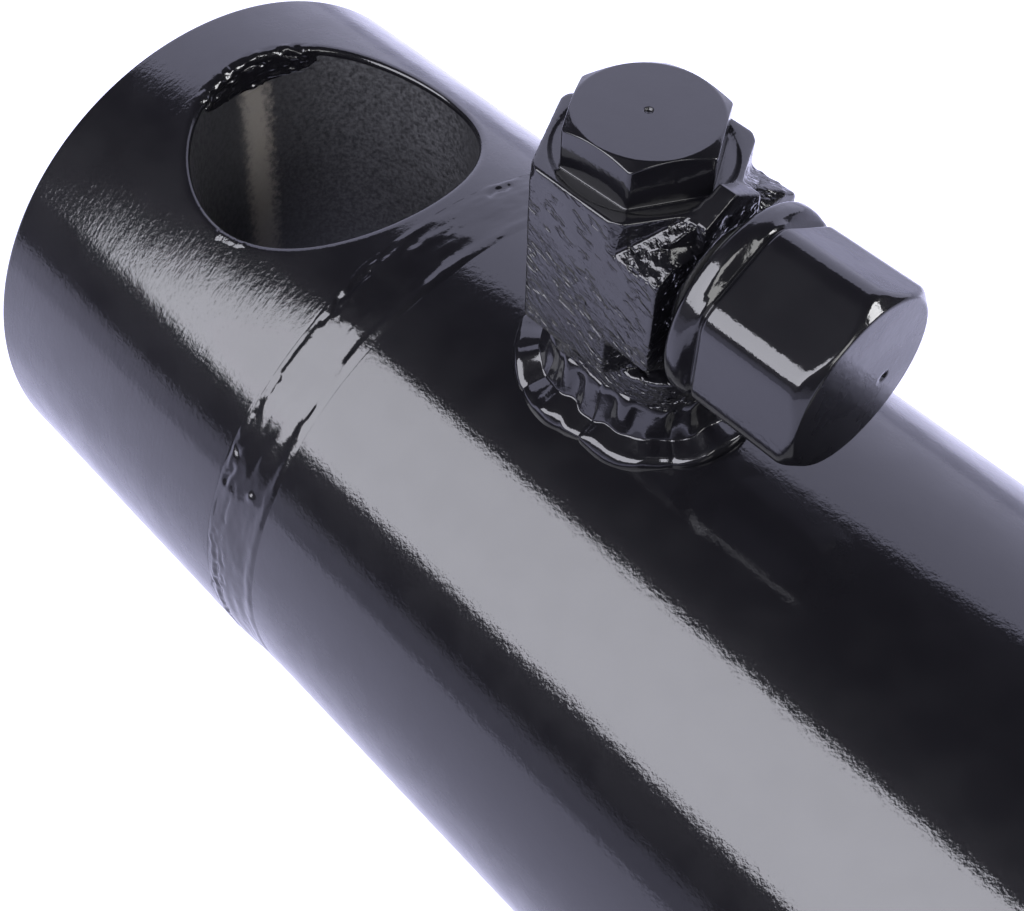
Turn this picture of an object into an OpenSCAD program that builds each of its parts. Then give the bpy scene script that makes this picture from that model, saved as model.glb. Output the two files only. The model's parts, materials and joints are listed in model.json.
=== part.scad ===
// Double-acting hydraulic cylinder with a solid cross-bored base end and a welded rod eye.
// Millimetres. Origin at the centre of the base pin bore, +X along the rod, +Z along the pin bore.
// The model is drawn fully retracted.

/* [Base end] */
// outside diameter of the solid round base end
base_d = 102.8; // [95:0.2:130]
// distance from the pin bore's axis to the flat end face
base_back = 37.5; // [34:0.5:80]
// base pin bore diameter
pin_d = 47.6; // [25.4:0.1:63.5]
// where the base bar meets the weld
base_weld_x0 = 26.2; // [20:0.1:60]
// where the tube meets the weld
base_weld_x1 = 37.2; // [26:0.1:80]
// height of the weld bead above the tube
base_weld_crown = 0.6; // [0:0.1:3]
// inner face of the base end, inside the tube
base_face_x = 51.0; // [45:0.5:90]

/* [Barrel tube] */
// outside diameter of the tube
tube_d = 101.6; // [90:0.1:130]
// honed bore of the tube
bore_d = 88.9; // [76:0.1:110]
// open end of the tube
tube_end_x = 609.0; // [300:1:1200]

/* [Stroke and rod] */
// working stroke
stroke = 406.4; // [100:0.1:800]
// chromed rod diameter
rod_d = 50.8; // [30:0.1:70]
// rod spigot that carries the piston
spigot_d = 38.1; // [25:0.1:45]
// centre of the rod eye
rod_eye_x = 690.0; // [500:1:1400]

/* [Piston] */
// face of the piston on the nut side
piston_x = 78.0; // [70:0.5:120]
// length of the piston
piston_l = 60.0; // [40:0.5:100]
// diameter of the piston body
piston_d = 88.5; // [75:0.1:110]
// across flats of the piston nut
nut_af = 63.5; // [50:0.5:80]
// height of the piston nut
nut_l = 22.0; // [15:0.5:40]
// width of each piston wear ring
wear_w = 15.0; // [8:0.5:25]

/* [Gland] */
// length of the narrow nose at the inner end
gland_nose_l = 20.0; // [10:0.5:40]
// diameter of the nose
gland_nose_d = 72.0; // [60:0.5:85]
// diameter of the outer collar
gland_collar_d = 101.0; // [90:0.5:130]
// thickness of the outer collar
gland_collar_l = 12.0; // [8:0.5:30]

/* [Ports] */
// base port axis along the cylinder
port_x = 66.2; // [60:0.1:120]
// head port axis along the cylinder
head_port_x = 554.5; // [300:0.5:1200]
// across flats of the forged elbow
port_af = 25.4; // [20:0.1:45]
// machined top face above the cylinder axis
port_top_z = 87.8; // [75:0.1:130]
// underside of the elbow's hexagon above the cylinder axis
port_low_z = 62.1; // [56:0.1:72]
// radius of the elbow's neck
neck_r = 10.5; // [8:0.1:14]
// how far the neck runs under the side branch
neck_reach = 7.0; // [0:0.5:12]
// width of the foot weld around the neck
foot_weld_w = 6.0; // [3:0.1:9]
// height of the foot weld up the neck
foot_weld_h = 8.5; // [3:0.1:12]
// side branch axis above the cylinder axis
port_side_z = 76.0; // [65:0.1:110]
// machined side face from the port axis
port_face = 14.8; // [12:0.1:40]
// drilled oil way
oilway_d = 9.5; // [6:0.1:16]
// plug thread diameter
plug_d = 14.3; // [10:0.1:24]
// across flats of the top plug
top_plug_af = 19.05; // [14:0.05:32]
// height of the top plug's hexagon
top_plug_h = 6.4; // [4:0.1:20]
// across flats of the side plug
side_plug_af = 24.5; // [14:0.1:40]
// collar diameter of the side plug
side_collar_d = 27.4; // [20:0.1:50]
// collar thickness of the side plug
side_collar_t = 3.4; // [2:0.1:10]
// distance from the port axis to the side plug's end face
side_plug_reach = 37.4; // [25:0.1:60]

/* [Rod eye] */
// outside diameter of the eye
eye_d = 88.9; // [60:0.1:120]
// width of the eye along its bore
eye_w = 76.2; // [40:0.1:120]
// eye's bore, which holds the bushing
eye_bore_d = 60.3; // [50:0.1:80]

/* [Hidden] */
$fn = 96;
clear = 0.05;
groove_h = 1.5;
tube_bevel_l = 5.6;
tube_land = 1.0;
bar_bevel_l = 4.2;
rod_bevel = 7;
tube_r = tube_d / 2;
bore_r = bore_d / 2;
base_r = base_d / 2;
tube_start_x = base_weld_x1 - tube_bevel_l;
rod_r = rod_d / 2;
piston_r = piston_d / 2;
spigot_r = spigot_d / 2;
piston_end = piston_x + piston_l;
gland_x = piston_end + stroke + 0.6;
gland_body_x = gland_x + gland_nose_l;
gland_end = tube_end_x + gland_collar_l;
hex_k = 1 / cos(30);
plug_depth = 11;
port_hex_r = port_af / 2 * hex_k;
neck_cone_h = 2.5;
rim_h = 0.5;
spot_r = 11.9;
seal_x = piston_x + piston_l / 2;
seal_w = 6.3;
wear_a_x = piston_x + 5;
wear_b_x = piston_end - 5 - wear_w;
gland_r = bore_r - clear;
gland_collar_r = gland_collar_d / 2;
eye_r = eye_d / 2;
eye_near_x = rod_eye_x - eye_r;
gland_seal_x = gland_body_x + 6;
gland_lock_x = tube_end_x - 9;
wear_depth = 2.5;
seal_depth = 7.5;
rod_groove = [["buffer", 12.0, 7.0], ["guide", 23.0, 12.0], ["u_cup", 39.0, 8.0], ["wiper", 53.0, 7.0]];

// ---- shared shapes ----

// solid or hollow round bar along +X, starting at x
module bar_x(x, l, r, ri = 0) {
    translate([x, 0, 0]) rotate([0, 90, 0]) difference() {
        cylinder(h = l, r = r);
        if (ri > 0) translate([0, 0, -1]) cylinder(h = l + 2, r = ri);
    }
}

// body turned about the X axis from [x, radius] points
module turned_x(points) {
    rotate([0, 90, 0]) rotate_extrude() polygon([for (p = points) [p[1], p[0]]]);
}

// round-section ring about the X axis
module ring_x(x, r_mid, r_section) {
    translate([x, 0, 0]) rotate([0, 90, 0]) rotate_extrude()
        translate([r_mid, 0]) circle(r = r_section, $fn = 32);
}

// hexagonal prism along +Z with its corner circle chamfered at the far end
module hex_head(af, h, chamfer) {
    intersection() {
        cylinder(h = h, r = af / 2 * hex_k, $fn = 6);
        rotate_extrude() polygon([[0, 0], [af / 2 * hex_k + 1, 0], [af / 2 * hex_k + 1, h - chamfer - 1 / 2],
                                  [af / 2 - 0.1, h], [0, h]]);
    }
}

// ---- base end and barrel ----

module base_eye() {
    color("black") difference() {
        turned_x([[-base_back, 0], [-base_back, base_r - 0.8], [-base_back + 0.8, base_r],
                  [base_weld_x0, base_r], [base_weld_x0 + bar_bevel_l, bore_r - clear],
                  [base_face_x - 2, bore_r - clear], [base_face_x, bore_r - 2 - clear], [base_face_x, 0]]);
        translate([0, 0, -base_r - 1]) cylinder(h = base_d + 2, r = pin_d / 2);
    }
}

module barrel_tube() {
    color("black") difference() {
        turned_x([[tube_start_x, bore_r], [tube_start_x, bore_r + tube_land], [base_weld_x1, tube_r],
                  [tube_end_x - 1, tube_r], [tube_end_x, tube_r - 1], [tube_end_x, bore_r]]);
        for (x = [port_x, head_port_x]) translate([x, 0, bore_r - 3]) cylinder(h = 12, r = oilway_d / 2);
        translate([gland_lock_x, 0, -tube_r - 1]) cylinder(h = 10, r = 3);
    }
}

// weld bead that fills the groove between the base end and the tube
module base_eye_weld() {
    mid_x = (base_weld_x0 + base_weld_x1) / 2;
    crown_r = tube_r + base_weld_crown;
    color("black") turned_x([[base_weld_x0 - 0.9, base_r], [base_weld_x0 + 0.6, base_r + 0.3],
                             [mid_x, crown_r + 0.3], [base_weld_x1 - 0.8, crown_r - 0.2],
                             [base_weld_x1 + 0.9, tube_r], [base_weld_x1, tube_r],
                             [tube_start_x, bore_r + tube_land], [tube_start_x, bore_r],
                             [base_weld_x0 + bar_bevel_l, bore_r],
                             [base_weld_x0 + bar_bevel_l, bore_r - clear],
                             [base_weld_x0, base_r]]);
}

// ---- port elbow, drawn with its axis on Z and its side branch towards +X ----

// neck, stretched under the side branch
module neck(r, z0, z1) {
    for (x = [0, neck_reach]) translate([x, 0, z0]) cylinder(h = z1 - z0, r = r);
    translate([0, -r, z0]) cube([neck_reach, 2 * r, z1 - z0]);
}

module elbow_outer() {
    // upright hexagon, which stands a little above the spot face
    translate([0, 0, port_low_z]) cylinder(h = port_top_z + rim_h - port_low_z, r = port_hex_r, $fn = 6);
    // side branch hexagon, corner up
    translate([0, 0, port_side_z]) rotate([0, 90, 0]) cylinder(h = port_face, r = port_hex_r, $fn = 6);
    // neck, which ends below the side plug's collar, and the cone that carries the hexagon
    neck(neck_r, port_low_z - 20, port_low_z + 0.1);
    translate([0, 0, port_low_z - neck_cone_h])
        cylinder(h = neck_cone_h, r1 = neck_r, r2 = port_af / 2 - 0.2);
}

module port_elbow() {
    difference() {
        elbow_outer();
        // saddle that sits on the tube
        translate([-40, 0, 0]) rotate([0, 90, 0]) cylinder(h = 80, r = tube_r);
        // spot face for the top plug
        translate([0, 0, port_top_z]) cylinder(h = 10, r = spot_r);
        // oil way, then the two plug threads
        cylinder(h = port_top_z, r = oilway_d / 2);
        translate([0, 0, port_top_z - plug_depth]) cylinder(h = plug_depth + 1, r = plug_d / 2);
        translate([0, 0, port_side_z]) rotate([0, 90, 0]) cylinder(h = port_face + 1, r = oilway_d / 2);
        translate([port_face - 6.8, 0, port_side_z]) rotate([0, 90, 0]) cylinder(h = 8, r = plug_d / 2);
        // seal chamfers at the mouths
        translate([0, 0, port_top_z - 1.6]) cylinder(h = 1.7, r1 = plug_d / 2, r2 = plug_d / 2 + 1.7);
        translate([port_face - 1.6, 0, port_side_z]) rotate([0, 90, 0])
            cylinder(h = 1.7, r1 = plug_d / 2, r2 = plug_d / 2 + 1.7);
    }
}

// cross-section of the foot weld, as [distance from the neck's axis, height] points
function foot_profile() = [[0, -8], [neck_r + foot_weld_w, -8], [neck_r + foot_weld_w, -0.8],
                           [neck_r + foot_weld_w * 0.65, foot_weld_h * 0.42],
                           [neck_r + 1, foot_weld_h], [0, foot_weld_h]];

// fillet weld around the neck, following the tube
module port_weld() {
    difference() {
        translate([0, 0, tube_r]) {
            for (x = [0, neck_reach]) translate([x, 0, 0]) rotate_extrude() polygon(foot_profile());
            for (side = [0, 1]) mirror([0, side, 0]) rotate([90, 0, 90])
                linear_extrude(neck_reach) polygon(foot_profile());
        }
        translate([-40, 0, 0]) rotate([0, 90, 0]) cylinder(h = 80, r = tube_r);
        neck(neck_r, tube_r - 10, tube_r + 20);
        translate([0, 0, port_low_z - neck_cone_h])
            cylinder(h = neck_cone_h + 1, r1 = neck_r, r2 = neck_r + 3);
    }
}

// groove under a plug's head, with the head's seat at z
module seal_groove(z) {
    translate([0, 0, z - groove_h]) rotate_extrude() translate([plug_d / 2 - 0.9, 0]) square([4, groove_h]);
}

// O-ring in that groove
module seal_ring(z) {
    translate([0, 0, z - groove_h / 2]) rotate_extrude()
        translate([plug_d / 2 - 0.15, 0]) circle(r = 0.68, $fn = 32);
}

module port_top_plug() {
    difference() {
        union() {
            translate([0, 0, port_top_z]) hex_head(top_plug_af, top_plug_h, 0.8);
            translate([0, 0, port_top_z - 9]) cylinder(h = 9.1, r = plug_d / 2 - clear);
        }
        seal_groove(port_top_z);
        // centre mark
        translate([0, 0, port_top_z + top_plug_h - 0.3]) cylinder(h = 1, r = 0.55);
    }
}

module port_top_plug_oring() { seal_ring(port_top_z); }

module port_side_plug() {
    translate([0, 0, port_side_z]) rotate([0, 90, 0]) difference() {
        union() {
            translate([0, 0, port_face]) cylinder(h = side_collar_t, r = side_collar_d / 2);
            translate([0, 0, port_face + side_collar_t - 0.1])
                hex_head(side_plug_af, side_plug_reach - port_face - side_collar_t + 0.1, 0.9);
            translate([0, 0, port_face - 6]) cylinder(h = 6.1, r = plug_d / 2 - clear);
        }
        seal_groove(port_face);
        // punch mark
        translate([2.2, 4.6, side_plug_reach - 0.3]) cylinder(h = 1, r = 0.7);
    }
}

module port_side_plug_oring() { translate([0, 0, port_side_z]) rotate([0, 90, 0]) seal_ring(port_face); }

// places a port piece at the base end, or mirrored at the head end
module at_base() { translate([port_x, 0, 0]) children(); }
module at_head() { translate([head_port_x, 0, 0]) mirror([1, 0, 0]) children(); }

module base_port_elbow() { color("black") at_base() port_elbow(); }
module base_port_weld() { color("black") at_base() port_weld(); }
module base_port_top_plug() { color("black") at_base() port_top_plug(); }
module base_port_top_plug_oring() { color("dimgray") at_base() port_top_plug_oring(); }
module base_port_side_plug() { color("black") at_base() port_side_plug(); }
module base_port_side_plug_oring() { color("dimgray") at_base() port_side_plug_oring(); }
module head_port_elbow() { color("black") at_head() port_elbow(); }
module head_port_weld() { color("black") at_head() port_weld(); }
module head_port_top_plug() { color("black") at_head() port_top_plug(); }
module head_port_top_plug_oring() { color("dimgray") at_head() port_top_plug_oring(); }
module head_port_side_plug() { color("black") at_head() port_side_plug(); }
module head_port_side_plug_oring() { color("dimgray") at_head() port_side_plug_oring(); }

// ---- gland ----

module head_gland() {
    color("black") difference() {
        union() {
            bar_x(gland_x, gland_nose_l + 1, gland_nose_d / 2);
            bar_x(gland_body_x, tube_end_x - gland_body_x + 0.1, gland_r);
            turned_x([[tube_end_x, 0], [tube_end_x, gland_collar_r], [gland_end - 1.5, gland_collar_r],
                      [gland_end, gland_collar_r - 1.5], [gland_end, 0]]);
        }
        bar_x(gland_x - 1, gland_end - gland_x + 2, rod_r + 0.25);
        // grooves in the bore
        for (g = rod_groove) bar_x(gland_x + g[1], g[2] + 0.1, rod_r + 4.5);
        // static seal groove outside
        bar_x(gland_seal_x, 7.2, gland_r + 1, gland_r - 4.2);
        // dimple for the lock screw
        translate([gland_lock_x, 0, -bore_r - 1]) cylinder(h = 3.5, r = 3);
        // holes for a pin spanner
        for (a = [0:60:300]) rotate([a, 0, 0])
            translate([gland_end - gland_collar_l / 2, 0, gland_collar_r - 7]) cylinder(h = 10, r = 3.2);
    }
}

module gland_lock_screw() {
    color("dimgray") translate([gland_lock_x, 0, -tube_r + 0.3]) difference() {
        cylinder(h = tube_r - bore_r + 1.5, r = 3 - clear);
        translate([0, 0, -1]) cylinder(h = 3.5, r = 1.7, $fn = 6);
    }
}

module gland_oring() { color("black") ring_x(gland_seal_x + 5.0, bore_r - 2.12, 2.06); }
module gland_backup_ring() { color("ivory") bar_x(gland_seal_x + 0.1, 2.6, bore_r - 0.06, gland_r - 4.1); }
module rod_ring(i, l, r_out) { bar_x(gland_x + rod_groove[i][1] + 0.05, l, r_out, rod_r + 0.03); }
module rod_buffer_seal() { color("green") rod_ring(0, rod_groove[0][2], rod_r + 4.4); }
module rod_guide_ring() { color("tan") rod_ring(1, rod_groove[1][2], rod_r + 4.4); }
module rod_u_cup_seal() {
    color("green") difference() {
        rod_ring(2, rod_groove[2][2], rod_r + 4.4);
        bar_x(gland_x + rod_groove[2][1] - 1, 4.5, rod_r + 3.0, rod_r + 1.6);
    }
}
module rod_wiper() { color("green") rod_ring(3, rod_groove[3][2], rod_r + 4.4); }

// ---- piston seals ----

module piston_ring(x, w, depth) { bar_x(x + clear, w - 2 * clear, bore_r - 0.03, piston_r - depth + clear); }
module piston_wear_ring_inner() { color("tan") piston_ring(wear_a_x, wear_w, wear_depth); }
module piston_wear_ring_outer() { color("tan") piston_ring(wear_b_x, wear_w, wear_depth); }
module piston_seal() { color("ivory") piston_ring(seal_x - seal_w / 2, seal_w, seal_depth - 4.4); }
module piston_seal_energizer() {
    color("black") ring_x(seal_x, piston_r - seal_depth + 2.2, 2.1);
}

// ---- piston and rod ----

module piston() {
    color("gray") difference() {
        turned_x([[piston_x, spigot_r + 0.03], [piston_x, piston_r - 1.5], [piston_x + 1.5, piston_r],
                  [piston_end - 1.5, piston_r], [piston_end, piston_r - 1.5], [piston_end, spigot_r + 0.03]]);
        for (x = [wear_a_x, wear_b_x]) bar_x(x, wear_w, piston_r + 1, piston_r - wear_depth);
        bar_x(seal_x - seal_w / 2, seal_w, piston_r + 1, piston_r - seal_depth);
    }
}

module piston_rod() {
    stub_x = piston_x - nut_l - 2.5;
    color("silver") difference() {
        turned_x([[stub_x, 0], [stub_x, spigot_r - 2], [stub_x + 2, spigot_r], [piston_end, spigot_r],
                  [piston_end, rod_r - 1], [piston_end + 1, rod_r],
                  [eye_near_x - rod_bevel - 1, rod_r], [eye_near_x - 1, rod_r - rod_bevel],
                  [eye_near_x + 0.5, rod_r - rod_bevel], [eye_near_x + 0.5, 0]]);
        bar_x(seal_x + 10, 3.0, spigot_r + 1, spigot_r - 2.0);
        translate([rod_eye_x, 0, -eye_w / 2 - 1]) cylinder(h = eye_w + 2, r = eye_r);
    }
}

module piston_rod_oring() { color("black") ring_x(seal_x + 11.5, spigot_r - 0.95, 0.95); }

module piston_nut() {
    nut_corner = nut_af / 2 * hex_k + 0.5;
    color("dimgray") translate([piston_x - nut_l, 0, 0]) rotate([0, 90, 0]) difference() {
        intersection() {
            cylinder(h = nut_l, r = nut_af / 2 * hex_k, $fn = 6);
            rotate_extrude() polygon([[0, 0], [nut_af / 2 - 0.5, 0], [nut_corner, 2.6],
                                      [nut_corner, nut_l - 2.6], [nut_af / 2 - 0.5, nut_l], [0, nut_l]]);
        }
        translate([0, 0, -1]) cylinder(h = nut_l + 2, r = spigot_r + 0.03);
    }
}

module rod_eye() {
    color("black") difference() {
        translate([rod_eye_x, 0, -eye_w / 2]) rotate_extrude()
            polygon([[eye_bore_d / 2, 0], [eye_r - 1.2, 0], [eye_r, 1.2], [eye_r, eye_w - 1.2],
                     [eye_r - 1.2, eye_w], [eye_bore_d / 2, eye_w]]);
        translate([rod_eye_x, 0, 0]) rotate([0, 90, 0]) cylinder(h = eye_d, r = 2.5);
    }
}

// fillet between the rod end and the round eye
module rod_eye_weld() {
    color("black") difference() {
        turned_x([[eye_near_x - 8.6, 0], [eye_near_x - 8.6, rod_r],
                  [eye_near_x - 6.5, rod_r + 2.0], [eye_near_x + 1, rod_r + 4.2],
                  [eye_near_x + 12, rod_r + 5.0], [eye_near_x + 12, 0]]);
        translate([rod_eye_x, 0, -eye_w / 2 - 1]) cylinder(h = eye_w + 2, r = eye_r);
        turned_x([[eye_near_x - 12, 0], [eye_near_x - 12, rod_r],
                  [eye_near_x - rod_bevel - 1, rod_r], [eye_near_x - 1, rod_r - rod_bevel],
                  [rod_eye_x, rod_r - rod_bevel], [rod_eye_x, 0]]);
    }
}

module rod_eye_bushing() {
    color("gray") difference() {
        translate([rod_eye_x, 0, -eye_w / 2]) rotate_extrude()
            polygon([[pin_d / 2, 0.8], [pin_d / 2 + 0.8, 0], [eye_bore_d / 2, 0], [eye_bore_d / 2, eye_w],
                     [pin_d / 2 + 0.8, eye_w], [pin_d / 2, eye_w - 0.8]]);
        translate([rod_eye_x, 0, 0]) rotate([0, 90, 0]) cylinder(h = eye_d, r = 2);
    }
}

module rod_eye_grease_fitting() {
    color("silver") translate([rod_eye_x + eye_r - 6, 0, 0]) rotate([0, 90, 0]) {
        cylinder(h = 6.5, r = 2.5 - clear);
        translate([0, 0, 6.2]) cylinder(h = 4, r = 4.2, $fn = 6);
        translate([0, 0, 10.1]) rotate_extrude()
            polygon([
                [0, 0], [2.6, 0], [2.6, 1.5], [2.0, 2.2], [2.0, 3.2],
                [3.0, 4.0], [3.0, 5.0], [1.4, 6.5], [0, 6.5]
            ]);
    }
}

base_eye();
barrel_tube();
base_eye_weld();
base_port_elbow();
base_port_weld();
base_port_top_plug();
base_port_top_plug_oring();
base_port_side_plug();
base_port_side_plug_oring();
head_port_elbow();
head_port_weld();
head_port_top_plug();
head_port_top_plug_oring();
head_port_side_plug();
head_port_side_plug_oring();
head_gland();
gland_lock_screw();
gland_oring();
gland_backup_ring();
rod_buffer_seal();
rod_guide_ring();
rod_u_cup_seal();
rod_wiper();
piston_wear_ring_inner();
piston_wear_ring_outer();
piston_seal();
piston_seal_energizer();
piston();
piston_rod();
piston_rod_oring();
piston_nut();
rod_eye();
rod_eye_weld();
rod_eye_bushing();
rod_eye_grease_fitting();
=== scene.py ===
"""Looks of a double-acting hydraulic cylinder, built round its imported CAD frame.

Every piece is built in metres in the frame's own axes: +X from the base end to the rod eye and +Z along the
base pin bore. The paint, steel and seals are procedural materials.
"""
import json
import math
from itertools import product

import bmesh
import bpy
import numpy as np
from mathutils import Matrix, Vector

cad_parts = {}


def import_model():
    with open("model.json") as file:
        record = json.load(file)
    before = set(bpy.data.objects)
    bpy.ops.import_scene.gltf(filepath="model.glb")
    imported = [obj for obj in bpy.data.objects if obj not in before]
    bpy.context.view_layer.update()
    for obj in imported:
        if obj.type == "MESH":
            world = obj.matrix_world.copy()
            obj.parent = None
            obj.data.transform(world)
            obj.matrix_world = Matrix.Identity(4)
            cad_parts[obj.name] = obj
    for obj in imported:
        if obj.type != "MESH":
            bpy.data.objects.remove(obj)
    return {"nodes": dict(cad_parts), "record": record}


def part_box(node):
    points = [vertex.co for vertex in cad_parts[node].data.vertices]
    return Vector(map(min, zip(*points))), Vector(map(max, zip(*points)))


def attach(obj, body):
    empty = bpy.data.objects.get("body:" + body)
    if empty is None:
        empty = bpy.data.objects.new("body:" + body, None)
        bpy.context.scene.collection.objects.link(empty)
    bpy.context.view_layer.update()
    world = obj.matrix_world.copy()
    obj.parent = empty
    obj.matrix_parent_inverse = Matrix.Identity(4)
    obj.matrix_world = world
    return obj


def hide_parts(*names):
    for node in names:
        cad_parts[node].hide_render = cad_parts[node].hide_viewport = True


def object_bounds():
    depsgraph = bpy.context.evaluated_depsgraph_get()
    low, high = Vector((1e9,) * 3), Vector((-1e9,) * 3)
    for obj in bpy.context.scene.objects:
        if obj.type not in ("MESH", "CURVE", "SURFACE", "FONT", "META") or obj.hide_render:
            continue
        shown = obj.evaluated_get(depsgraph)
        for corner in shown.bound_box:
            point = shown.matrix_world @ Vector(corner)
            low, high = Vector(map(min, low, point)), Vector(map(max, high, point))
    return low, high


MM = 0.001

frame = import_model()
cad_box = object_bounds()


# ---- sizes, from the frame ----

def low(node):
    """Lowest corner of a CAD node."""
    return np.array(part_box(node)[0])


def high(node):
    """Highest corner of a CAD node."""
    return np.array(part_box(node)[1])


def middle(node):
    """Centre of a CAD node's box."""
    return (low(node) + high(node)) / 2


mounts = {m["name"]: m for m in frame["record"]["mounts"]}
PIN_R = mounts["base_pin_bore"]["dims"]["r_mm"] * MM
BASE_BACK = low("base_eye")[0]
BASE_R = high("base_eye")[2]
BASE_FRONT = high("base_eye")[0]
TUBE_R = high("barrel_tube")[2]
TUBE_END = high("barrel_tube")[0]
TUBE_START = low("barrel_tube")[0]
BORE_R = high("piston_seal")[2] + 0.03 * MM
ROD_R = high("piston_rod")[2]
EYE_X = mounts["rod_eye_bore"]["pos_m"][0]
EYE_R = high("rod_eye")[1]
EYE_TOP = high("rod_eye")[2]
BUSH_R = high("rod_eye_bushing")[1]
# the small rings that end caps close: of bodies turned about X, and of plugs
AXIS_R = 0.5 * MM
CENTRE_R = 0.02 * MM


# ---- mesh helpers ----

def lattice(ix, iy, iz, seed):
    """Repeatable value from -1 to 1 at each whole-number point of a 3-D lattice."""
    h = ix.astype(np.uint32) * np.uint32(73856093)
    h ^= iy.astype(np.uint32) * np.uint32(19349663)
    h ^= iz.astype(np.uint32) * np.uint32(83492791)
    h ^= np.uint32((seed * 2654435761) % 2**32)
    h ^= h >> np.uint32(13)
    h *= np.uint32(1274126177)
    h ^= h >> np.uint32(16)
    return h.astype(float) / 2**31 - 1.0


def noise(points, size, seed=0):
    """Smooth noise from -1 to 1 with lumps about size across; size is one number or one for each axis."""
    p = np.asarray(points, float) / size
    cell = np.floor(p).astype(np.int64)
    f = p - cell
    f = f * f * f * (f * (f * 6 - 15) + 10)
    total = np.zeros(p.shape[:-1])
    for corner in product((0, 1), repeat=3):
        weight = np.prod(np.where(corner, f, 1 - f), axis=-1)
        total += weight * lattice(*(cell[..., k] + corner[k] for k in range(3)), seed)
    return total


def smooth(low_edge, high_edge, value):
    """0 below low_edge, 1 above high_edge and an S-curve between."""
    t = np.clip((value - low_edge) / (high_edge - low_edge), 0, 1)
    return t * t * (3 - 2 * t)


def rounded(points, radius, steps=6, closed=False, support=0.25 * MM):
    """A 2-D line with its corners rounded, and a point close to each end of every straight stretch.

    radius is one number or one for each point; a radius of 0 keeps the corner.
    """
    pts = [np.array(p, float) for p in points]
    n = len(pts)
    radii = [radius] * n if np.isscalar(radius) else list(radius)
    out = []
    for i, p in enumerate(pts):
        if not closed and i in (0, n - 1):
            out.append(p)
            continue
        before, after = pts[i - 1] - p, pts[(i + 1) % n] - p
        reach_a, reach_b = np.linalg.norm(before), np.linalg.norm(after)
        a, b = before / reach_a, after / reach_b
        reach = min(radii[i], reach_a * 0.45, reach_b * 0.45)
        edge = min(support, reach_a * 0.02 + reach * 0.2, reach_b * 0.02 + reach * 0.2)
        out.append(p + a * (reach + edge))
        for k in range(steps + 1):
            t = k / steps
            out.append((1 - t) ** 2 * (p + a * reach) + 2 * t * (1 - t) * p + t * t * (p + b * reach))
        out.append(p + b * (reach + edge))
    return np.array(out)


def stretched(line, longest):
    """The line with extra points, so that no step is longer than longest."""
    out = [line[0]]
    for a, b in zip(line[:-1], line[1:]):
        parts = max(1, int(math.ceil(np.linalg.norm(b - a) / longest)))
        out += [a + (b - a) * k / parts for k in range(1, parts + 1)]
    return np.array(out)


def grid_faces(rows, columns, start, wrap_rows=False):
    """Quads between neighbouring points of a grid of closed rows whose points start at index start."""
    i = np.arange(rows if wrap_rows else rows - 1)
    i, j = (a.ravel() for a in np.meshgrid(i, np.arange(columns), indexing="ij"))
    i2, j2 = (i + 1) % rows, (j + 1) % columns
    quads = np.stack([i * columns + j, i2 * columns + j, i2 * columns + j2, i * columns + j2], axis=1)
    return quads + start


class Shell:
    """Collects grids and end caps, and turns them into one smooth closed mesh piece."""

    def __init__(self):
        self.points = []
        self.faces = []
        self.count = 0

    def add(self, points):
        start = self.count
        self.points.append(points)
        self.count += len(points)
        return start

    def grid(self, rows, wrap_rows=False):
        rows = np.asarray(rows, float)
        start = self.add(rows.reshape(-1, 3))
        self.faces += grid_faces(rows.shape[0], rows.shape[1], start, wrap_rows).tolist()
        return self

    def cap(self, ring):
        ring = np.asarray(ring, float)
        start = self.add(np.vstack([ring, ring.mean(axis=0)]))
        n = len(ring)
        self.faces += [[start + k, start + (k + 1) % n, start + n] for k in range(n)]
        return self

    def piece(self, name, body, node, slot, material):
        data = bpy.data.meshes.new(name)
        data.from_pydata(np.vstack(self.points).tolist(), [], self.faces)
        mesh = bmesh.new()
        mesh.from_mesh(data)
        bmesh.ops.remove_doubles(mesh, verts=mesh.verts, dist=1e-6)
        bmesh.ops.dissolve_degenerate(mesh, edges=mesh.edges, dist=1e-7)
        bmesh.ops.recalc_face_normals(mesh, faces=mesh.faces)
        mesh.to_mesh(data)
        mesh.free()
        return place(name, data, body, node, slot, material)


def place(name, data, body, node, slot, material):
    """Puts a mesh in the scene as a piece that stands for a CAD node."""
    data.polygons.foreach_set("use_smooth", [True] * len(data.polygons))
    data.materials.clear()
    data.materials.append(material)
    obj = bpy.data.objects.new(name, data)
    bpy.context.scene.collection.objects.link(obj)
    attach(obj, body)
    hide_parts(node)
    return obj


def turned(profile, segments):
    """Rows of points of a body turned about X, from [x, radius] points."""
    a = np.linspace(0, 2 * math.pi, segments, endpoint=False)
    p = np.asarray(profile, float)
    return np.stack([
        np.repeat(p[:, :1], segments, axis=1),
        p[:, 1:] * np.sin(a),
        p[:, 1:] * np.cos(a)], axis=-1)


def about_z(rows, x):
    """Rows turned about X, stood up so that their axis is Z at x."""
    return np.stack([rows[..., 1] + x, rows[..., 2], rows[..., 0]], axis=-1)


def hexagon(across_flats, corner_radius, turn, steps=7):
    """Outline of a hexagon with rounded corners, as [radius, angle] of each point, finest at the corners."""
    corner = across_flats / 2 / math.cos(math.radians(30))
    angles = [math.radians(60 * k) + turn for k in range(6)]
    corners = [[corner * math.cos(a), corner * math.sin(a)] for a in angles]
    line = rounded(corners, corner_radius, steps, closed=True)
    line = stretched(np.vstack([line, line[:1]]), across_flats / 14)[:-1]
    return np.stack([np.hypot(line[:, 0], line[:, 1]), np.arctan2(line[:, 1], line[:, 0])], axis=1)


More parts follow.
